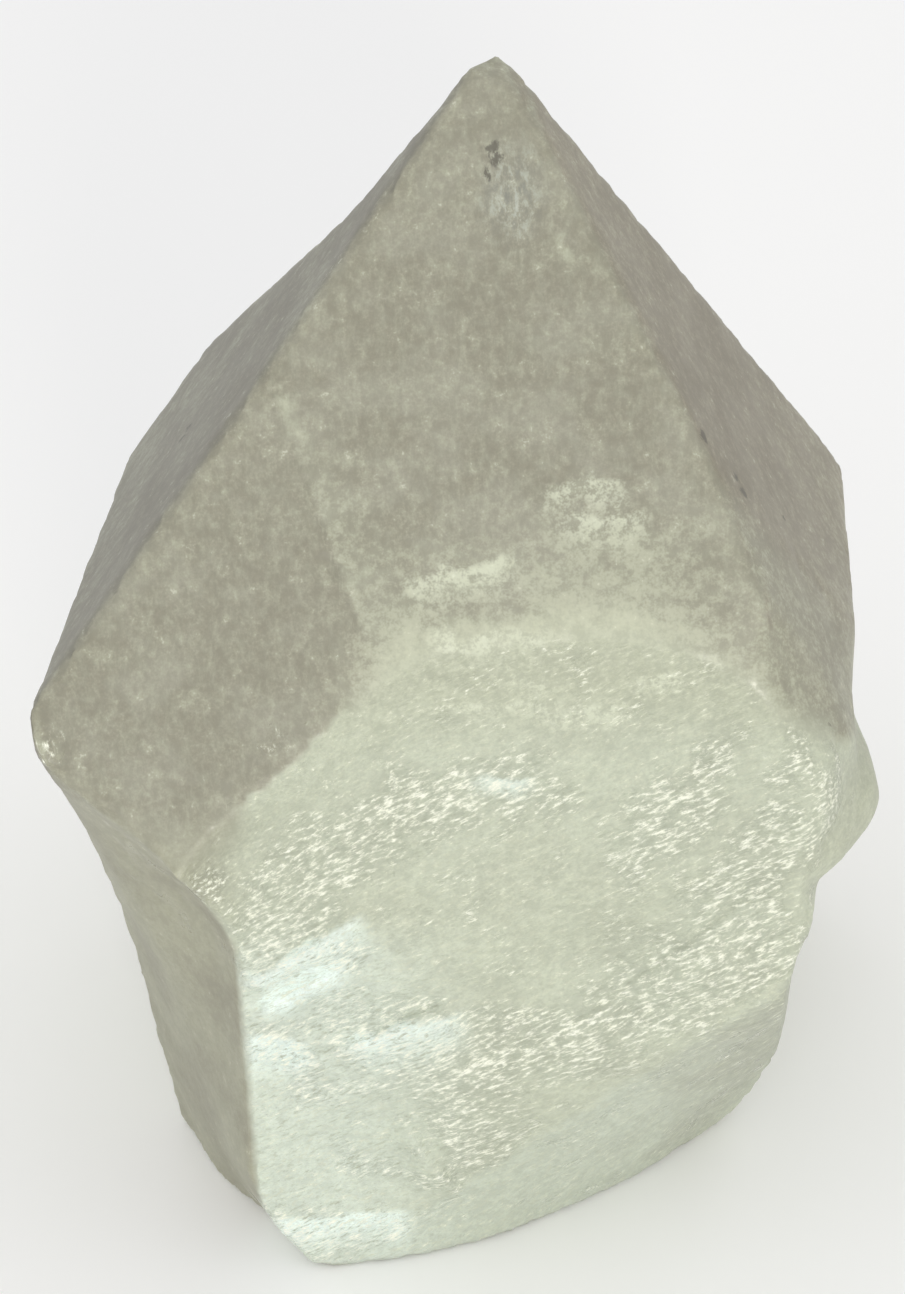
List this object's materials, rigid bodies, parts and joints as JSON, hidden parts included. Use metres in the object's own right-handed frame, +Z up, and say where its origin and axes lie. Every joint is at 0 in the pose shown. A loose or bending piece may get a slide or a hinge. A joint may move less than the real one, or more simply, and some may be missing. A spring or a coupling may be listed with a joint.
{
  "type": "quartz crystal point",
  "caption": "Stout milky quartz crystal point with flat growth faces meeting at a blunt tip, a rippled glassy break across the front of its root and a level foot to stand on.",
  "frame": {"origin": "middle of the whole crystal's box, on the surface that it stands on", "axes": "+Z up along the crystal to its tip, -Y out of the big front face and the break below it, +X to the right seen from the front"},
  "size_m": [0.07, 0.076, 0.0996],
  "materials": {
    "milky_quartz": "milky and faintly see-through, satin growth faces, glossy rippled break"
  },
  "bodies": {
    "root": {"quartz_crystal": "milky_quartz"}
  },
  "joints": []
}
